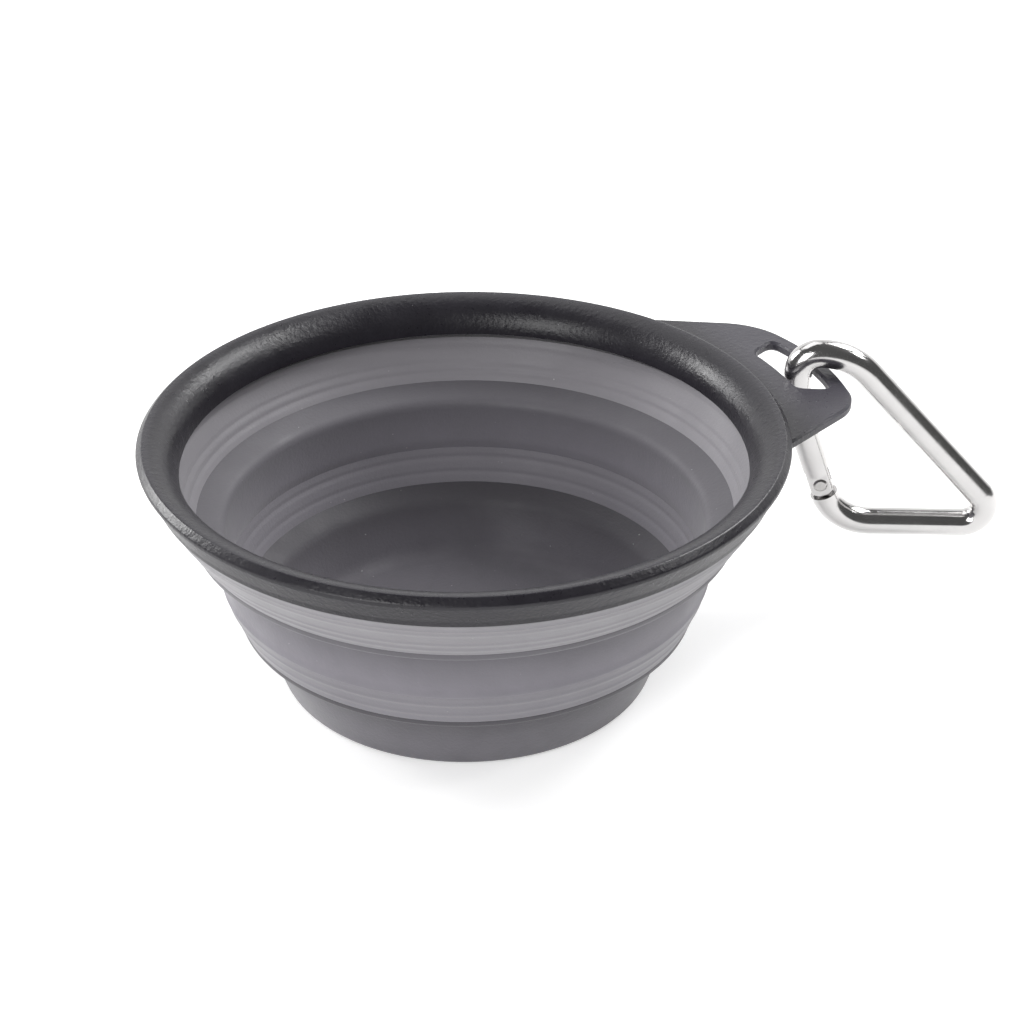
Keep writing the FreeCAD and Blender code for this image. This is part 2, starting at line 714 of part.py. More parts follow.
# ---------------------------------------------------------------- placements
az = size("clip_turn")
clip_place = FreeCAD.Placement(
    FreeCAD.Vector(
        size("slot_inner_radius") + size("clip_slot_gap") + size("bar_radius")
        + size("nose_shift") * math.cos(math.radians(az)),
        size("clip_side_y"),
        value(tab_top_z) + size("clip_lift") + size("bar_radius")),
    FreeCAD.Rotation(FreeCAD.Vector(0, 0, 1), az)
    * FreeCAD.Rotation(FreeCAD.Vector(1, 0, 0), 90 + size("clip_tilt")))
gate_place = clip_place * FreeCAD.Placement(
    FreeCAD.Vector(value(rivet_x), value(rivet_y), 0),
    FreeCAD.Rotation(FreeCAD.Vector(0, 0, 1), size("gate_angle")))
stand_up = FreeCAD.Rotation(FreeCAD.Vector(1, 0, 0), -90)
clip.Placement = clip_place
gate.Placement = gate_place
rivet.Placement = gate_place
pin.Placement = gate_place * FreeCAD.Placement(
    FreeCAD.Vector(value(pin_across), value(pin_up), 0), FreeCAD.Rotation())
plunger.Placement = gate_place * FreeCAD.Placement(
    FreeCAD.Vector(0, value(plunger_start), 0), stand_up)
spring.Placement = gate_place * FreeCAD.Placement(
    FreeCAD.Vector(0, value(spring_start), 0), stand_up)
doc.recompute()

# ---------------------------------------------------------------- checks and export
for item in doc.Objects:
    if "Invalid" in item.State or "Error" in item.State:
        raise ValueError(item.Name + " did not build")
os.makedirs("parts", exist_ok=True)
for name, body in bodies.items():
    shape = body.Shape
    if shape.isNull() or not shape.isValid() or len(shape.Solids) != 1:
        raise ValueError(name + " is not one valid solid")
    shape.exportStep("parts/" + name + ".step")
    box = shape.BoundBox
    print("%-16s %9.1f mm3  x %.1f..%.1f  y %.1f..%.1f  z %.1f..%.1f" % (
        name, shape.Volume, box.XMin, box.XMax, box.YMin, box.YMax, box.ZMin, box.ZMax))
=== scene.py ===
# %% [markdown]
# # Dressing a collapsible travel bowl
#
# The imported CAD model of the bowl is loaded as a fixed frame: a hard rim with a hang tab, a
# silicone wall that folds at two thin webs, and a clip with a sprung gate. Each part is then
# given its real surface. All lengths are in metres, z is up, and the bowl's axis is the z axis.

# %% Load the frame
import math

import bmesh
import bpy
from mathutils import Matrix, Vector


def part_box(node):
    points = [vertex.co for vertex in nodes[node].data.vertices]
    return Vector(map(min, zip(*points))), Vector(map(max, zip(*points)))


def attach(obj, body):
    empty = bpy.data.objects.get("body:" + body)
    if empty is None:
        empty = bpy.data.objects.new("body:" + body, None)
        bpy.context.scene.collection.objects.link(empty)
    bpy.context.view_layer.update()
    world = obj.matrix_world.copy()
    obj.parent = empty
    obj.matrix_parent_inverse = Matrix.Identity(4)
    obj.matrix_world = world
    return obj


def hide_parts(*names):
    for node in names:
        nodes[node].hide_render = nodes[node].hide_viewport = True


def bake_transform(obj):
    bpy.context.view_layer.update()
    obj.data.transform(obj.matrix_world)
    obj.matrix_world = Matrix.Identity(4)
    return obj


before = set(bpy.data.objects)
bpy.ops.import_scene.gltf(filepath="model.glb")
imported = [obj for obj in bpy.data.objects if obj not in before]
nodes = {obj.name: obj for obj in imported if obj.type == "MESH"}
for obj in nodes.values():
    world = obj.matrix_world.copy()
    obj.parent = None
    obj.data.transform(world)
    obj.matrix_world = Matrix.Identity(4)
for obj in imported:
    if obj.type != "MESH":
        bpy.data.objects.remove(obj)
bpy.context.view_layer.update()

MM = 0.001
print("CAD nodes:", ", ".join(sorted(nodes)))

# %% [markdown]
# ## Levels of the bowl
#
# A folding bowl is easiest to read as a stack of levels. Each level is taken from the box of the
# CAD node that ends there, so the looks follow the CAD when a height is changed. Only the cup's
# lip is drawn a little lower and slimmer than its solid.

# %% Levels and radii from the frame
cup_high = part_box("base_cup")[1]
ring_low, ring_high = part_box("middle_ring")
upper_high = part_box("upper_fold")[1]
collar_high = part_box("silicone_collar")[1]
rim_low, rim_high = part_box("rim_frame")

lip_trim = 0.4 * MM
cup_top = cup_high.z - lip_trim
ring_foot = ring_low.z
lip_top = ring_high.z
collar_foot = upper_high.z
throat = rim_low.z
rim_top = rim_high.z

cup_lip_radius = cup_high.x - lip_trim
ring_lip_radius = ring_high.x
collar_foot_radius = upper_high.x
collar_radius = collar_high.x
levels = (cup_top, ring_foot, lip_top, collar_foot, throat, rim_top)
print("levels in mm:", [round(level / MM, 1) for level in levels])

# %% [markdown]
# ## Helpers for the hand work
#
# Operators act on whatever is selected, so every step starts from an empty selection. A turned
# part is modelled as a potter would: one ring, extruded and resized again and again up the wall.

# %% Selection helpers


def only(piece):
    """Selects this piece alone and makes it active."""
    bpy.ops.object.select_all(action="DESELECT")
    piece.select_set(True)
    bpy.context.view_layer.objects.active = piece


def finish_piece(piece, angle=35.0):
    """Puts the piece's place into its mesh and shades it smooth except at sharp edges."""
    only(piece)
    bpy.ops.object.transform_apply(location=True, rotation=True, scale=True)
    bpy.ops.object.shade_smooth_by_angle(angle=math.radians(angle))
    triangles = sum(len(face.vertices) - 2 for face in piece.data.polygons)
    print(piece.name, "has", triangles, "triangles")


# %% A ring stack: the wall of a turned part


def extrude_ring(level_from, level_to, radius_from, radius_to):
    """Extrudes the selected ring to the next level and resizes it about the bowl's axis."""
    rise = level_to - level_from
    bpy.ops.mesh.extrude_region_move(TRANSFORM_OT_translate={"value": (0, 0, rise)})
    share = radius_to / radius_from
    bpy.ops.transform.resize(value=(share, share, 1), center_override=(0, 0, level_to))


def turned(name, stations, solid=False, around=192):
    """A turned part from (radius, height) stations: capped at both ends if solid, or a tube."""
    bpy.ops.object.select_all(action="DESELECT")
    first_radius, first_level = stations[0]
    bpy.ops.mesh.primitive_circle_add(vertices=around, radius=first_radius, location=(0, 0, 0))
    piece = bpy.context.active_object
    piece.name = name
    bpy.ops.object.mode_set(mode="EDIT")
    bpy.ops.mesh.select_all(action="SELECT")
    bpy.ops.transform.translate(value=(0, 0, first_level))
    for before, after in zip(stations, stations[1:]):
        extrude_ring(before[1], after[1], before[0], after[0])
    if solid:
        bpy.ops.mesh.edge_face_add()
        select_ring(piece, stations[0])
        bpy.ops.mesh.edge_face_add()
    else:
        select_ring(piece, stations[0], extend=True)
        bpy.ops.mesh.bridge_edge_loops()
    bpy.ops.mesh.select_all(action="SELECT")
    bpy.ops.mesh.normals_make_consistent(inside=False)
    bpy.ops.object.mode_set(mode="OBJECT")
    return piece


def select_ring(piece, station, extend=False):
    """Selects the ring of vertices at one station of a turned part."""
    mesh = bmesh.from_edit_mesh(piece.data)
    if not extend:
        bpy.ops.mesh.select_all(action="DESELECT")
    for vertex in mesh.verts:
        off_radius = abs(math.hypot(vertex.co.x, vertex.co.y) - station[0])
        if off_radius < 1e-6 and abs(vertex.co.z - station[1]) < 1e-6:
            vertex.select = True
    mesh.select_flush(True)
    for edge in mesh.edges:
        edge.select = all(vertex.select for vertex in edge.verts)
    bmesh.update_edit_mesh(piece.data)


# %% [markdown]
# ## Profiles with soft corners
#
# Moulded silicone has no sharp corner: each one is a small radius left by the mould. A profile is
# written as its few real corners, each with its radius, and this helper turns every corner into a
# short run of stations.

# %% Rounding the corners of a profile


def rounded_profile(corners, steps=5):
    """Stations along a chain of (radius, height, corner radius); the first and last stay sharp."""
    stations = [corners[0][:2]]
    for before, corner, after in zip(corners, corners[1:], corners[2:]):
        here = Vector(corner[:2])
        into = Vector(before[:2]) - here
        out = Vector(after[:2]) - here
        reach = min(corner[2], 0.48 * into.length, 0.48 * out.length)
        if reach < 1e-6:
            stations.append(tuple(here))
            continue
        start = here + into.normalized() * reach
        end = here + out.normalized() * reach
        for step in range(steps + 1):
            t = step / steps
            point = start * (1 - t) ** 2 + here * (2 * t * (1 - t)) + end * t ** 2
            stations.append(tuple(point))
    stations.append(corners[-1][:2])
    return stations


# %% [markdown]
# ## The silicone wall
#
# On the real bowl the cup, the ring, the webs and the collar are one moulding. It is split here
# at the lips and at the foot of the ring, where the mould leaves a crease, so that the cup, the
# ring and the collar can each ride on its own body. A seam at a crease doesn't show. The walls are
# 1.8 mm thick and the webs 1.5 mm.

# %% Silicone dimensions
wall = 1.8 * MM
web = 1.5 * MM
floor_level = 2.2 * MM
centre_radius = 1.0 * MM
recess_radius = 35.6 * MM
recess_depth = 0.45 * MM
cup_foot_radius = 38.7 * MM
cup_top_radius = 43.6 * MM
cup_lip_height = 1.7 * MM
ring_radius = 50.0 * MM
ring_taper = 0.5 * MM
ring_lip_height = 2.0 * MM
bead = 0.22 * MM
seam = 0.02 * MM
collar_inner_radius = 57.4 * MM
collar_top = throat - 0.03 * MM

# %% Base cup: floor, foot and wall
cup_profile = [
    (recess_radius, recess_depth, 0),
    (recess_radius + 0.6 * MM, 0.0, 0.3 * MM),
    (cup_foot_radius, 0.0, 1.2 * MM),
    (cup_top_radius, cup_top - cup_lip_height - 0.2 * MM, 0.7 * MM),
    (cup_lip_radius - 0.1 * MM, cup_top - 0.75 * cup_lip_height, 0.6 * MM),
    (cup_lip_radius, cup_top - seam, 0.15 * MM),
    (cup_lip_radius - web, cup_top - seam, 0.1 * MM),
    (cup_top_radius - wall, cup_top - 1.5 * cup_lip_height, 1.6 * MM),
    (cup_foot_radius - wall - 0.2 * MM, floor_level, 3.2 * MM),
    (centre_radius, floor_level, 0),
]
cup_stations = [(centre_radius, recess_depth)] + rounded_profile(cup_profile)
cup = turned("silicone_base_cup", cup_stations, solid=True)
finish_piece(cup)
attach(cup, "base")
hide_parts("base_cup")

# %% [markdown]
# ## Folding webs
#
# Each web is a thin cone with fine moulded ridges that help it roll over. When the bowl is pushed
# flat the web turns inside out between its two tiers. It is drawn with many rings, enough for a
# smooth bend.

# %% A web between two tiers


def web_stations(foot, top, ridges, rings=44):
    """Stations of a thin cone from foot to top, with shallow ridges near the given heights."""
    outer = []
    for step in range(rings + 1):
        t = step / rings
        swell = sum(
            depth * math.exp(-((t - place) / width) ** 2) for place, width, depth in ridges)
        hold = min(1.0, t / 0.05, (1 - t) / 0.05)
        radius = foot[0] + (top[0] - foot[0]) * t + swell * hold
        outer.append((radius, foot[1] + (top[1] - foot[1]) * t))
    inner = [(radius - web, level) for radius, level in reversed(outer)]
    return outer + inner


lower_web_stations = web_stations(
    (cup_lip_radius, cup_top), (ring_radius, ring_foot),
    [(0.30, 0.07, 0.14 * MM), (0.72, 0.08, 0.20 * MM)])
lower_web = turned("silicone_lower_fold", lower_web_stations)
finish_piece(lower_web)
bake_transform(lower_web)
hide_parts("lower_fold")

upper_web_stations = web_stations(
    (ring_lip_radius, lip_top), (collar_foot_radius, collar_foot),
    [(0.20, 0.06, 0.20 * MM), (0.42, 0.06, 0.16 * MM), (0.84, 0.06, 0.14 * MM)])
upper_web = turned("silicone_upper_fold", upper_web_stations)
finish_piece(upper_web)
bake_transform(upper_web)
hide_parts("upper_fold")

# %% Middle ring: foot bead, wall and lip
ring_profile = [
    (ring_radius, ring_foot + seam, 0),
    (ring_radius + bead, ring_foot + 0.5 * MM, 0.4 * MM),
    (ring_radius, ring_foot + 1.6 * MM, 0.8 * MM),
    (ring_radius + ring_taper, lip_top - ring_lip_height - 0.3 * MM, 1.1 * MM),
    (ring_lip_radius - 0.15 * MM, lip_top - 0.72 * ring_lip_height, 0.7 * MM),
    (ring_lip_radius, lip_top - seam, 0.15 * MM),
    (ring_lip_radius - web, lip_top - seam, 0.1 * MM),
    (ring_radius + ring_taper - wall, lip_top - ring_lip_height - 0.4 * MM, 1.8 * MM),
    (ring_radius - wall, ring_foot + wall, 0.9 * MM),
    (ring_radius - web, ring_foot + seam, 0),
]
ring = turned("silicone_middle_ring", rounded_profile(ring_profile))
finish_piece(ring)
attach(ring, "ring")
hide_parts("middle_ring")

# %% Collar under the rim
collar_profile = [
    (collar_foot_radius - web, collar_foot + seam, 0),
    (collar_foot_radius, collar_foot + seam, 0),
    (collar_foot_radius + 0.25 * MM, collar_foot + 0.7 * MM, 0.4 * MM),
    (collar_radius - 0.2 * MM, collar_top, 0.2 * MM),
    (collar_inner_radius, collar_top, 0.5 * MM),
    (collar_foot_radius - web - 1.0 * MM, collar_foot + 1.1 * MM, 0.6 * MM),
]
collar = turned("silicone_collar_band", rounded_profile(collar_profile))
finish_piece(collar)
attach(collar, "rim")
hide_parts("silicone_collar")

# %% [markdown]
# ## The hard rim
#
# The rim is a hard plastic ring moulded over the silicone. Its inside rolls over in one smooth
# curve. Outside, a narrow land slopes down to the widest line of the bowl, and a plain band
# tapers in below it. The slope faces up and stays dark, while the band faces the pale floor and
# looks lighter.

# %% Rim profile
opening_radius = 56.9 * MM
roll_radius = 7.4 * MM
rim_radius = 64.5 * MM
rim_foot = rim_top - 6.1 * MM
rim_foot_radius = 62.75 * MM
belly_radius = 65.0 * MM
land_width = 1.3 * MM


def roll_stations(steps=16):
    """The quarter roll from the throat up to the flat land on top of the rim."""
    centre = Vector((opening_radius + roll_radius, throat))
    finish = math.acos((centre.x - rim_radius + land_width) / roll_radius)
    stations = []
    for step in range(steps + 1):
        turn = finish * step / steps
        radius = centre.x - roll_radius * math.cos(turn)
        stations.append((radius, centre.y + roll_radius * math.sin(turn)))
    return stations


rim_outside = [
    (rim_radius - 0.95 * land_width, rim_top, 0),
    (rim_radius - 0.75 * MM, rim_top, 0.35 * MM),
    (belly_radius, rim_top - 1.3 * MM, 0.45 * MM),
    (belly_radius - 0.1 * MM, rim_top - 2.0 * MM, 0.2 * MM),
    (rim_foot_radius, rim_foot + 0.2 * MM, 0.3 * MM),
    (collar_radius + 0.1 * MM, throat, 0.3 * MM),
    (opening_radius + 0.6 * MM, throat, 0.3 * MM),
]
rim = turned("rim_ring", roll_stations()[:-1] + rounded_profile(rim_outside), around=240)

# %% [markdown]
# ## The hang tab
#
# The tab is a flat plate with a curved slot, its edges chamfered so that it is kind to the hand.
# A filled flat curve with a second loop inside it makes the plate and the slot at once, and its
# bevel cuts every edge. The plate starts inside the ring, so the two read as one moulding.

# %% Points along the tab's outline
tab_top = rim_top - 2.0 * MM
tab_thick = 2.2 * MM
tab_chamfer = 0.5 * MM
tab_reach = rim_high.x
tip_radius = 55.0 * MM
tip_half = 13.6 * MM
buried_radius = 61.3 * MM
strap_width = 3.3 * MM
slot_radius = rim_radius + 7.1 * MM


def arc_between(start, end, radius, steps=14):
    """Points along an anticlockwise arc from start to end, bulging to the right of the way."""
    chord = end - start
    right = Vector((chord.y, -chord.x)).normalized()
    middle = (start + end) / 2
    centre = middle - right * math.sqrt(radius ** 2 - (chord.length / 2) ** 2)
    sweep = 2 * math.asin(chord.length / 2 / radius)
    first = start - centre
    points = []
    for step in range(steps + 1):
        turn = sweep * step / steps
        across = Vector((-first.y, first.x))
        points.append(centre + first * math.cos(turn) + across * math.sin(turn))
    return points


def upside_down(points):
    """The same points mirrored across the tab's middle line, in reverse order."""
    return [Vector((point.x, -point.y)) for point in reversed(points)]


def tip_point(radius, half):
    """The point of the tip's arc at this distance from the middle line."""
    return Vector((tab_reach - tip_radius + math.sqrt(radius ** 2 - half ** 2), half))


tip_end = tip_point(tip_radius, tip_half)
tip_arc = arc_between(Vector((tip_end.x, -tip_half)), tip_end, tip_radius)


def side_of_tab(shoulder, shoulder_radius, root_angle):
    """One side of the tab from its tip: the shoulder's arc, the flank and its buried end."""
    root = rim_radius * Vector((math.cos(root_angle), math.sin(root_angle)))
    buried = root * (buried_radius / rim_radius)
    return arc_between(tip_end, shoulder, shoulder_radius) + [root, buried]


far_shoulder = Vector((rim_radius + 7.5 * MM, 25.0 * MM))
far_side = side_of_tab(far_shoulder, 17.0 * MM, math.radians(33.4))
near_shoulder = Vector((rim_radius + 10.0 * MM, 22.0 * MM))
near_side = side_of_tab(near_shoulder, 11.5 * MM, math.radians(27.3))
inner_arc = arc_between(upside_down(near_side)[0], far_side[-1], buried_radius)
tab_outline = tip_arc[:-1] + far_side + list(reversed(inner_arc))[1:-1]
tab_outline += upside_down(near_side)[:-1]
print("tab outline has", len(tab_outline), "points")

# %% Points along the slot


def round_corner(before, corner, after, radius, steps=6):
    """Points of a rounded corner between two straight runs."""
    into = (before - corner).normalized() * radius
    out = (after - corner).normalized() * radius
    points = []
    for step in range(steps + 1):
        t = step / steps
        points.append(corner + into * (1 - t) ** 2 + out * t ** 2)
    return points


slot_inner_half = 9.2 * MM
slot_outer_half = 12.4 * MM
outer_corner = 2.3 * MM
inner_corner = 2.0 * MM
slot_corner = tip_point(tip_radius - strap_width, slot_outer_half)
slot_outer = arc_between(
    Vector((slot_corner.x, -slot_corner.y)), slot_corner, tip_radius - strap_width)
slot_in_x = math.sqrt(slot_radius ** 2 - slot_inner_half ** 2)
slot_inner = list(reversed(arc_between(
    Vector((slot_in_x, -slot_inner_half)), Vector((slot_in_x, slot_inner_half)), slot_radius)))
slot_outline = round_corner(slot_inner[-1], slot_outer[0], slot_outer[3], outer_corner)
slot_outline += slot_outer[3:-3]
slot_outline += round_corner(slot_outer[-4], slot_outer[-1], slot_inner[0], outer_corner)
slot_outline += round_corner(slot_outer[-1], slot_inner[0], slot_inner[3], inner_corner)
slot_outline += slot_inner[3:-3]
slot_outline += round_corner(slot_inner[-4], slot_inner[-1], slot_outer[0], inner_corner)
print("slot outline has", len(slot_outline), "points")

# %% The plate with its chamfered edges


def plate(name, loops, middle_level, thickness, chamfer):
    """A flat plate from closed loops of points, with chamfered edges, made a mesh."""
    bpy.ops.object.select_all(action="DESELECT")
    bpy.ops.curve.primitive_bezier_circle_add(radius=MM, location=(0, 0, 0))
    piece = bpy.context.active_object
    piece.name = name
    drawing = piece.data
    drawing.splines.clear()
    for loop in loops:
        spline = drawing.splines.new("POLY")
        spline.points.add(len(loop) - 1)
        for place, point in zip(spline.points, loop):
            place.co = (point.x, point.y, 0, 1)
        spline.use_cyclic_u = True
    drawing.dimensions = "2D"
    drawing.fill_mode = "BOTH"
    drawing.bevel_depth = chamfer
    drawing.bevel_resolution = 0
    drawing.offset = -chamfer
    drawing.extrude = thickness / 2 - chamfer
    bpy.ops.object.convert(target="MESH")
    bpy.ops.object.mode_set(mode="EDIT")
    bpy.ops.mesh.select_all(action="SELECT")
    bpy.ops.transform.translate(value=(0, 0, middle_level))
    bpy.ops.mesh.remove_doubles(threshold=0.00001)
    bpy.ops.mesh.normals_make_consistent(inside=False)
    bpy.ops.object.mode_set(mode="OBJECT")
    return piece


tab_loops = [tab_outline, slot_outline]
tab = plate("rim_tab", tab_loops, tab_top - tab_thick / 2, tab_thick, tab_chamfer)
only(rim)
tab.select_set(True)
bpy.ops.object.join()
rim.name = "rim_with_tab"
finish_piece(rim, angle=40)
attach(rim, "rim")
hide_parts("rim_frame")

# %% [markdown]
# ## How the finishes are built
#
# A finish is more than a colour. Each one here is layered: a base colour, a slow change of tone
# from handling, a fine surface grain that breaks up the highlight, and small marks of use. The
# layers that several finishes share are node groups, built once and given their own values in
# each material.

# %% Helpers for materials


def new_material(name):
    """A node material, with its nodes, its links and its Principled shader."""
    material = bpy.data.materials.new(name)
    material.use_nodes = True
    tree = material.node_tree
    return material, tree.nodes, tree.links, tree.nodes["Principled BSDF"]


def new_effect(name, numbers, results):
    """An empty node group with number inputs and the named results."""
    group = bpy.data.node_groups.new(name, "ShaderNodeTree")
    group.interface.new_socket("Vector", in_out="INPUT", socket_type="NodeSocketVector")
    for label, value in numbers.items():
        socket = group.interface.new_socket(label, in_out="INPUT", socket_type="NodeSocketFloat")
        socket.default_value = value
    for label in results:
        group.interface.new_socket(label, in_out="OUTPUT", socket_type="NodeSocketFloat")
    return group, group.nodes.new("NodeGroupInput"), group.nodes.new("NodeGroupOutput")


def sum_up(tree, operation, first, second=None, third=None):
    """A math node; each value is either a number or the socket that feeds it."""
    node = tree.nodes.new("ShaderNodeMath")
    node.operation = operation
    for place, value in enumerate((first, second, third)):
        if isinstance(value, bpy.types.NodeSocket):
            tree.links.new(value, node.inputs[place])
        elif value is not None:
            node.inputs[place].default_value = value
    return node.outputs[0]


def stretch(tree, value, low, high, new_low, new_high):
    """Maps a value from one range onto another, smoothly and without going past its ends."""
    node = tree.nodes.new("ShaderNodeMapRange")
    node.interpolation_type = "SMOOTHSTEP"
    tree.links.new(value, node.inputs["Value"])
    labels = ("From Min", "From Max", "To Min", "To Max")
    for label, number in zip(labels, (low, high, new_low, new_high)):
        if isinstance(number, bpy.types.NodeSocket):
            tree.links.new(number, node.inputs[label])
        else:
            node.inputs[label].default_value = number
    return node.outputs["Result"]


def noise_at(tree, vector, scale, detail=2.0, roughness=0.5):
    """A noise texture on the given vector, its scale a number or a socket."""
    noise = tree.nodes.new("ShaderNodeTexNoise")
    tree.links.new(vector, noise.inputs["Vector"])
    if isinstance(scale, bpy.types.NodeSocket):
        tree.links.new(scale, noise.inputs["Scale"])
    else:
        noise.inputs["Scale"].default_value = scale
    noise.inputs["Detail"].default_value = detail
    noise.inputs["Roughness"].default_value = roughness
    return noise.outputs["Fac"]


# %% [markdown]
# ## Moulded grain
#
# A mould for plastic or silicone is spark eroded, so the part has a leather-like grain of shallow
# pits a millimetre or less apart. It is far too fine to model. Two noises of different sizes give
# its height, and the finer one also says where a tiny facet glints.

# %% Effect: moulded grain
grain, grain_in, grain_out = new_effect("MouldedGrain", {"Pitch": 0.0004}, ["Height", "Glint"])
per_metre = sum_up(grain, "DIVIDE", 1.0, grain_in.outputs["Pitch"])
fine_grain = noise_at(grain, grain_in.outputs["Vector"], per_metre, detail=3.0, roughness=0.62)
wide_scale = sum_up(grain, "MULTIPLY", per_metre, 0.31)
wide_grain = noise_at(grain, grain_in.outputs["Vector"], wide_scale)
both_grains = sum_up(grain, "MULTIPLY_ADD", wide_grain, 0.45, fine_grain)
grain.links.new(both_grains, grain_out.inputs["Height"])
grain.links.new(stretch(grain, fine_grain, 0.56, 0.74, 0.0, 1.0), grain_out.inputs["Glint"])
print("effect:", grain.name)

# %% [markdown]
# ## Handling marks
#
# A thing that is picked up every day has no even sheen: fingers leave slow, cloudy patches, and a
# few specks of dust stay on it. The patches are a low noise, and the specks are the rare high
# peaks of a fine one.

# %% Effect: handling marks
marks, marks_in, marks_out = new_effect(
    "HandlingMarks", {"Patch Size": 0.02, "Speck Size": 0.0006}, ["Patches", "Specks"])
patch_scale = sum_up(marks, "DIVIDE", 1.0, marks_in.outputs["Patch Size"])
patches = noise_at(marks, marks_in.outputs["Vector"], patch_scale, detail=4.0, roughness=0.55)
speck_scale = sum_up(marks, "DIVIDE", 1.0, marks_in.outputs["Speck Size"])
speck_noise = noise_at(marks, marks_in.outputs["Vector"], speck_scale, detail=1.0)
marks.links.new(stretch(marks, patches, 0.3, 0.7, 0.0, 1.0), marks_out.inputs["Patches"])
marks.links.new(stretch(marks, speck_noise, 0.79, 0.84, 0.0, 1.0), marks_out.inputs["Specks"])
print("effect:", marks.name)

# %% [markdown]
# ## Fine scratches
#
# Metal that hangs on a bag is crossed by hair-thin scratches, most of them along the bar. Three
# stretched noises at different slants are cut to their thin crests. The crests roughen the
# surface and dip it a little, so that they only show inside a highlight.

# %% Effect: fine scratches
scratches, scratches_in, scratches_out = new_effect(
    "FineScratches", {"Amount": 1.0}, ["Lines", "Height"])
crests = []
for slant, fineness in ((0.2, 900.0), (1.1, 620.0), (2.3, 760.0)):
    turn = scratches.nodes.new("ShaderNodeMapping")
    turn.inputs["Rotation"].default_value = (slant, 0.6 * slant, slant)
    turn.inputs["Scale"].default_value = (1.0, 0.035, 1.0)
    scratches.links.new(scratches_in.outputs["Vector"], turn.inputs["Vector"])
    streak = noise_at(scratches, turn.outputs["Vector"], fineness, detail=1.0)
    off_middle = sum_up(scratches, "ABSOLUTE", sum_up(scratches, "SUBTRACT", streak, 0.5))
    crests.append(stretch(scratches, off_middle, 0.0, 0.012, 1.0, 0.0))
two_crests = sum_up(scratches, "MAXIMUM", crests[0], crests[1])
all_crests = sum_up(scratches, "MAXIMUM", two_crests, crests[2])
cloud = noise_at(scratches, scratches_in.outputs["Vector"], 90.0)
fade = stretch(scratches, cloud, 0.45, 0.62, 0.0, 1.0)
faded = sum_up(scratches, "MULTIPLY", all_crests, fade)
lines = sum_up(scratches, "MULTIPLY", faded, scratches_in.outputs["Amount"])
scratches.links.new(lines, scratches_out.inputs["Lines"])
scratches.links.new(sum_up(scratches, "MULTIPLY", lines, -1.0), scratches_out.inputs["Height"])
print("effect:", scratches.name)

# %% Using an effect in a material


def object_place(tree):
    """The Object coordinates of the piece that wears the material."""
    return tree.nodes.new("ShaderNodeTexCoord").outputs["Object"]


def use_effect(tree, effect, vector, **numbers):
    """Places an effect in a material with its own values; words of a label are joined by _."""
    node = tree.nodes.new("ShaderNodeGroup")
    node.node_tree = effect
    tree.links.new(vector, node.inputs["Vector"])
    for label, value in numbers.items():
        node.inputs[label.replace("_", " ")].default_value = value
    return node


def mix_colours(tree, share, first, second):
    """Blends two colours; each is a triple or a socket, and the share is a number or a socket."""
    node = tree.nodes.new("ShaderNodeMix")
    node.data_type = "RGBA"
    for place, value in ((6, first), (7, second)):
        if isinstance(value, bpy.types.NodeSocket):
            tree.links.new(value, node.inputs[place])
        else:
            node.inputs[place].default_value = (*value, 1)
    if isinstance(share, bpy.types.NodeSocket):
        tree.links.new(share, node.inputs[0])
    else:
        node.inputs[0].default_value = share
    return node.outputs[2]


def rough_up(tree, shader, height, distance):
    """Feeds a height through a Bump node into the shader's normal."""
    bump = tree.nodes.new("ShaderNodeBump")
    bump.inputs["Distance"].default_value = distance
    bump.inputs["Strength"].default_value = 1.0
    tree.links.new(height, bump.inputs["Height"])
    tree.links.new(bump.outputs["Normal"], shader.inputs["Normal"])


def dress(piece, material):
    """Gives a piece one material."""
    piece.data.materials.clear()
    piece.data.materials.append(material)


# %% [markdown]
# ## Grey silicone
#
# Food-grade silicone is matt and slightly soft to the light. Where the wall is thin, at the webs,
# more light comes back out and it looks paler, and where it is thick it looks deeper. The cup and
# the ring are also painted darker towards the top, just under the lip: this is painted shade. So
# each tier has its own tone, which runs from its foot to its top, with the same grain and marks on
# all of them.

# %% Material: silicone


def silicone_finish(name, foot_tone, top_tone, foot, top):
    """A silicone material whose tone runs from its foot height to its top height."""
    material, parts, links, shader = new_material(name)
    tree = material.node_tree
    place = object_place(tree)
    split = parts.new("ShaderNodeSeparateXYZ")
    links.new(place, split.inputs["Vector"])
    # On the cup and the ring the darker top of this tone run is painted shade under the lip.
    rise = stretch(tree, split.outputs["Z"], foot, top, 0.0, 1.0)
    tone = mix_colours(tree, rise, foot_tone, top_tone)
    handled = use_effect(tree, marks, place, Patch_Size=0.014, Speck_Size=0.0009)
    deeper = mix_colours(tree, 0.82, (0, 0, 0), top_tone)
    cloud_share = sum_up(tree, "MULTIPLY", handled.outputs["Patches"], 0.16)
    clouded = mix_colours(tree, cloud_share, tone, deeper)
    dust_share = sum_up(tree, "MULTIPLY", handled.outputs["Specks"], 0.45)
    dusty = mix_colours(tree, dust_share, clouded, (0.62, 0.62, 0.62))
    links.new(dusty, shader.inputs["Base Color"])
    matt = stretch(tree, handled.outputs["Patches"], 0.0, 1.0, 0.50, 0.62)
    links.new(matt, shader.inputs["Roughness"])
    skin = use_effect(tree, grain, place, Pitch=0.0007)
    rough_up(tree, shader, skin.outputs["Height"], distance=0.00006)
    shader.inputs["Specular IOR Level"].default_value = 0.42
    shader.inputs["Sheen Weight"].default_value = 0.30
    shader.inputs["Sheen Roughness"].default_value = 0.5
    return material
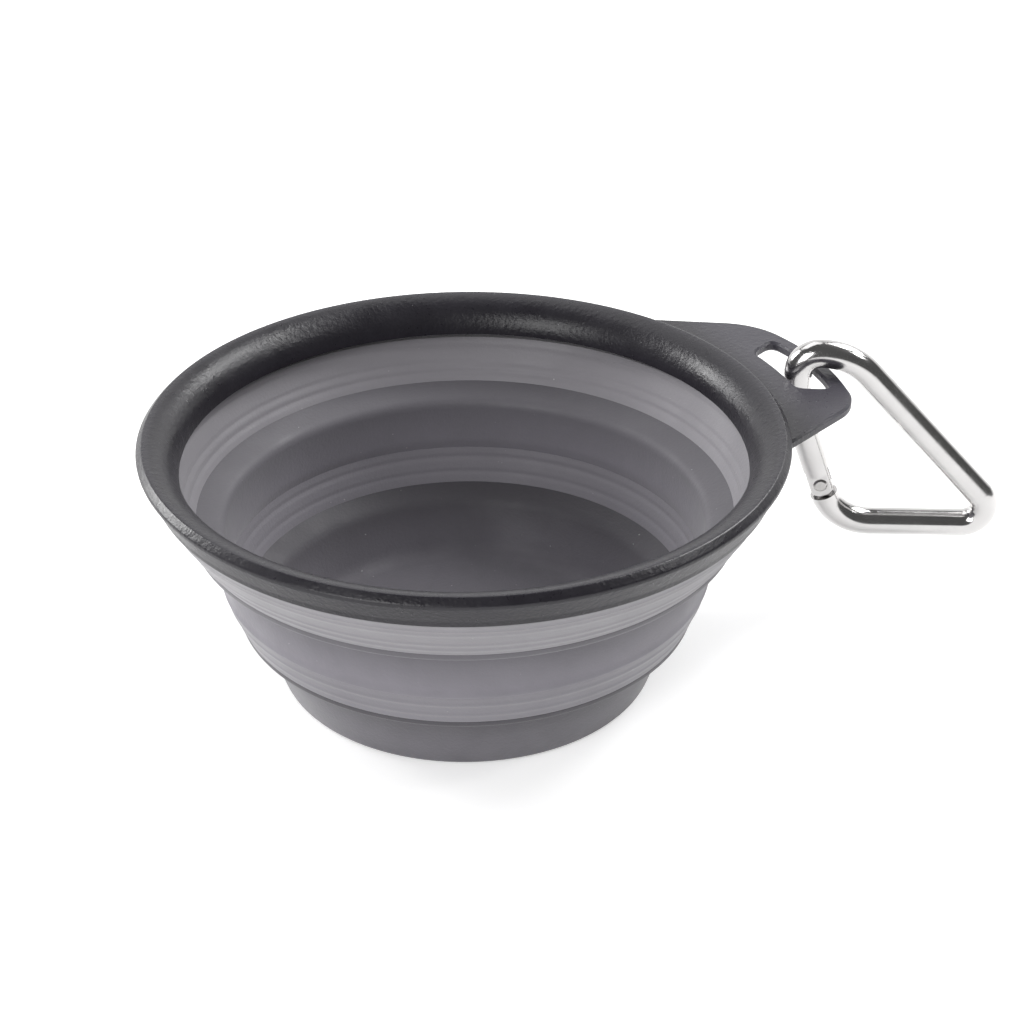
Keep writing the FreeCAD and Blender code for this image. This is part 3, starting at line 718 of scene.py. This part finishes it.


# The top tones of the cup and the ring are painted shade under their lips.
cup_tone_foot = 4.0 * MM
for tier, name, foot_tone, top_tone, foot, top in (
        (cup, "silicone_cup",
         (0.134, 0.127, 0.146), (0.064, 0.060, 0.070), cup_tone_foot, cup_top),
        (lower_web, "silicone_lower_web",
         (0.202, 0.193, 0.216), (0.197, 0.188, 0.210), cup_top, ring_foot),
        (ring, "silicone_ring",
         (0.205, 0.195, 0.221), (0.108, 0.103, 0.117), ring_foot, lip_top),
        (upper_web, "silicone_upper_web",
         (0.222, 0.213, 0.232), (0.228, 0.219, 0.237), lip_top, collar_foot),
        (collar, "silicone_collar",
         (0.236, 0.227, 0.246), (0.220, 0.212, 0.230), collar_foot, throat)):
    dress(tier, silicone_finish(name, foot_tone, top_tone, foot, top))
    print(tier.name, "wears", name)

# %% [markdown]
# ## Charcoal rim
#
# The rim is a hard plastic, nearly black, with a satin grain. Under a soft box the grain breaks
# the highlight into fine glints. Its top edge is polished a little by hands and bags. Painted
# light
# makes it paler: a painted highlight on the top edge, and painted light on the tab and beside it.

# %% Material: rim plastic
rim_paint, rim_parts, rim_links, rim_shader = new_material("rim_charcoal_satin")
rim_tree = rim_paint.node_tree
rim_place = object_place(rim_tree)
rim_split = rim_parts.new("ShaderNodeSeparateXYZ")
rim_links.new(rim_place, rim_split.inputs["Vector"])
# Painted highlight: the top edge is painted a shade paler; the same mask makes it a little
# smoother.
top_edge_wear_and_highlight = stretch(rim_tree, rim_split.outputs["Z"], rim_top - 0.25 * MM, rim_top, 0.0, 1.0)
rim_handled = use_effect(rim_tree, marks, rim_place, Patch_Size=0.011, Speck_Size=0.0007)
charcoal = mix_colours(
    rim_tree, rim_handled.outputs["Patches"], (0.0125, 0.0112, 0.0152), (0.0170, 0.0155, 0.0206))
# Painted light: the tab and the rim beside it are painted paler, for the light on the tab's upward
# face.
tab_painted_light = stretch(
    rim_tree, rim_split.outputs["X"], rim_radius - 4.0 * MM, rim_radius + 8.0 * MM, 0.0, 0.75)
painted_paleness = sum_up(rim_tree, "MAXIMUM", sum_up(rim_tree, "MULTIPLY", top_edge_wear_and_highlight, 0.15), tab_painted_light)
charcoal_with_painted_light = mix_colours(rim_tree, painted_paleness, charcoal, (0.055, 0.052, 0.065))
rim_dust = sum_up(rim_tree, "MULTIPLY", rim_handled.outputs["Specks"], 0.30)
dusty_rim = mix_colours(rim_tree, rim_dust, charcoal_with_painted_light, (0.35, 0.35, 0.36))
rim_links.new(dusty_rim, rim_shader.inputs["Base Color"])
rim_grain = use_effect(rim_tree, grain, rim_place, Pitch=0.0010)
satin = stretch(rim_tree, rim_handled.outputs["Patches"], 0.0, 1.0, 0.31, 0.37)
glossier = sum_up(rim_tree, "MULTIPLY_ADD", rim_grain.outputs["Glint"], -0.10, satin)
worn_smooth = sum_up(rim_tree, "MULTIPLY_ADD", top_edge_wear_and_highlight, -0.06, glossier)
rim_links.new(worn_smooth, rim_shader.inputs["Roughness"])
rough_up(rim_tree, rim_shader, rim_grain.outputs["Height"], distance=0.00012)
rim_shader.inputs["Specular IOR Level"].default_value = 0.42
dress(rim, rim_paint)
print("rim material has", len(rim_parts), "nodes")

# %% [markdown]
# ## Clip metal
#
# The clip is polished aluminium. Its body is the brightest, the gate is a little duller, and the
# small steel parts are a shade darker. They share the scratches and the handling marks, each with
# its own amount.

# %% Material: metals


def metal_finish(name, colour, gloss, scratched, patch_size=0.009):
    """A metal with scratches and finger marks; gloss is its lowest roughness."""
    material, parts, links, shader = new_material(name)
    tree = material.node_tree
    place = object_place(tree)
    worn = use_effect(tree, scratches, place, Amount=scratched)
    handled = use_effect(tree, marks, place, Patch_Size=patch_size, Speck_Size=0.0005)
    dulled = tuple(0.86 * level for level in colour)
    touch_share = sum_up(tree, "MULTIPLY", handled.outputs["Patches"], 0.35)
    score_share = sum_up(tree, "MULTIPLY", worn.outputs["Lines"], 0.35)
    touched = mix_colours(tree, touch_share, colour, dulled)
    links.new(mix_colours(tree, score_share, touched, dulled), shader.inputs["Base Color"])
    shader.inputs["Metallic"].default_value = 1.0
    patchy = stretch(tree, handled.outputs["Patches"], 0.0, 1.0, gloss, gloss + 0.07)
    rougher = sum_up(tree, "MULTIPLY_ADD", worn.outputs["Lines"], 0.10, patchy)
    links.new(rougher, shader.inputs["Roughness"])
    rough_up(tree, shader, worn.outputs["Height"], distance=0.000003)
    return material


clip_finish = metal_finish("clip_polished_aluminium", (0.64, 0.63, 0.625), 0.12, 0.8)
gate_finish = metal_finish(
    "gate_polished_aluminium", (0.61, 0.60, 0.595), 0.17, 1.0, patch_size=0.006)
pin_finish = metal_finish("pin_steel", (0.52, 0.51, 0.50), 0.26, 0.9, patch_size=0.002)
spring_finish = metal_finish("spring_wire", (0.42, 0.42, 0.43), 0.32, 0.5, patch_size=0.002)
for name, finish in (
        ("clip_body", clip_finish), ("clip_gate", gate_finish), ("gate_rivet", pin_finish),
        ("latch_pin", pin_finish), ("gate_plunger", pin_finish), ("gate_spring", spring_finish)):
    dress(nodes[name], finish)
    print(name, "wears", finish.name)

# %% [markdown]
# ## Studio
#
# The bowl stands on a pale floor. To the eye the floor and the far side of the studio are white,
# and shiny surfaces show that white too, while the side behind the camera is dim, as in a real
# studio. That is what draws dark lines in polished metal. The floor keeps the bowl's shadow, and
# it glows more with distance, where the lamps no longer reach, so that it meets the white world
# without an edge. In a reflection the floor is half as bright, so that the clip stands out from
# the white.

# %% Floor
floor_size = 6.0
floor_drop = 0.2 * MM
near_glow = 0.42
far_glow = 1.1
bpy.ops.object.select_all(action="DESELECT")
bpy.ops.mesh.primitive_plane_add(size=floor_size, location=(0, 0, -floor_drop))
floor = bpy.context.active_object
floor.name = "studio_floor"
floor_paint, floor_parts, floor_links, floor_shader = new_material("floor_white")
floor_tree = floor_paint.node_tree
floor_place = object_place(floor_tree)
floor_tone = stretch(floor_tree, noise_at(floor_tree, floor_place, 3.0), 0.0, 1.0, 0.81, 0.83)
floor_links.new(floor_tone, floor_shader.inputs["Base Color"])
floor_shader.inputs["Roughness"].default_value = 0.9
floor_shader.inputs["Specular IOR Level"].default_value = 0.1
floor_shader.inputs["Emission Color"].default_value = (1, 1, 1, 1)
seen = floor_parts.new("ShaderNodeLightPath")
looked_at = sum_up(
    floor_tree, "MAXIMUM", seen.outputs["Is Camera Ray"], seen.outputs["Is Transmission Ray"])
away = floor_parts.new("ShaderNodeVectorMath")
away.operation = "LENGTH"
floor_links.new(floor_place, away.inputs[0])
glow = stretch(floor_tree, away.outputs["Value"], 0.25, 1.4, near_glow, far_glow)
eye_sees = sum_up(floor_tree, "MULTIPLY", looked_at, glow)
mirrored_floor = sum_up(floor_tree, "MULTIPLY", seen.outputs["Is Glossy Ray"], near_glow / 2)
shown = sum_up(floor_tree, "MAXIMUM", eye_sees, mirrored_floor)
floor_links.new(shown, floor_shader.inputs["Emission Strength"])
dress(floor, floor_paint)

# %% Camera
look_at = Vector((0.0119, 0.0035, 0.030))
azimuth = math.radians(-24)
elevation = math.radians(30.27)
camera_distance = 0.4569
back = Vector((
    math.sin(azimuth) * math.cos(elevation),
    -math.cos(azimuth) * math.cos(elevation),
    math.sin(elevation)))
bpy.ops.object.camera_add(location=look_at + back * camera_distance)
camera = bpy.context.active_object
camera.name = "studio_camera"
camera.rotation_euler = back.to_track_quat("Z", "Y").to_euler()
camera.data.lens = 77.3
camera.data.sensor_width = 36
camera.data.clip_start = 0.01
bpy.context.scene.camera = camera

# %% Lamps


def soft_box(name, place, aim, width, height, power):
    """A rectangular lamp that looks from its place to its aim."""
    bpy.ops.object.light_add(type="AREA", location=place)
    lamp = bpy.context.active_object
    lamp.name = name
    lamp.data.shape = "RECTANGLE"
    lamp.data.size = width
    lamp.data.size_y = height
    lamp.data.energy = power
    lamp.rotation_euler = (Vector(place) - Vector(aim)).to_track_quat("Z", "Y").to_euler()


bowl_middle = (0, 0, 30 * MM)
bowl_shoulder = (0, 0, 40 * MM)
soft_box("overhead_box", (-0.05, 0.50, 0.85), bowl_middle, 0.8, 0.5, 2.0)
soft_box("key_box", (-0.85, -0.55, 0.45), bowl_middle, 0.6, 0.7, 6.0)
soft_box("right_high_box", (0.80, -0.40, 0.80), bowl_shoulder, 0.20, 0.20, 1.7)
soft_box("right_back_box", (0.68, 0.16, 0.72), bowl_shoulder, 0.45, 0.45, 6.4)
soft_box("back_left_box", (-0.68, 0.80, 0.47), bowl_shoulder, 0.45, 0.50, 8.0)

# %% [markdown]
# ## Surroundings
#
# The world is white to the eye. For reflections it is white at the far side and dims towards the
# viewer's side, and for soft light it is an even pale grey. The far side is a fixed direction in
# the room, so it stays where it is when the bowl is looked at from elsewhere.

# %% World
world = bpy.data.worlds.new("studio_world")
bpy.context.scene.world = world
world.use_nodes = True
room = world.node_tree
sky = room.nodes["Background"]
sky.inputs["Color"].default_value = (1, 1, 1, 1)
white_level = 1.12
dim_level = 0.10
soft_light = 0.50
direction = room.nodes.new("ShaderNodeTexCoord").outputs["Generated"]
towards_far = room.nodes.new("ShaderNodeVectorMath")
towards_far.operation = "DOT_PRODUCT"
towards_far.inputs[1].default_value = (0.40, 0.90, -0.45)
room.links.new(direction, towards_far.inputs[0])
mirrored = stretch(room, towards_far.outputs["Value"], 0.22, 0.62, dim_level, white_level)
path = room.nodes.new("ShaderNodeLightPath")
eye_ray = sum_up(
    room, "MAXIMUM", path.outputs["Is Camera Ray"], path.outputs["Is Transmission Ray"])
unseen = sum_up(room, "SUBTRACT", 1.0, eye_ray)
glossy = sum_up(room, "MULTIPLY", path.outputs["Is Glossy Ray"], unseen)
spread = sum_up(room, "SUBTRACT", unseen, glossy)
reflected = sum_up(room, "MULTIPLY", glossy, mirrored)
unseen_part = sum_up(room, "MULTIPLY_ADD", spread, soft_light, reflected)
brightness = sum_up(room, "MULTIPLY_ADD", eye_ray, white_level, unseen_part)
room.links.new(brightness, sky.inputs["Strength"])
print("soft light from the world:", soft_light)

# %% Colour handling
bpy.context.scene.view_settings.view_transform = "Standard"
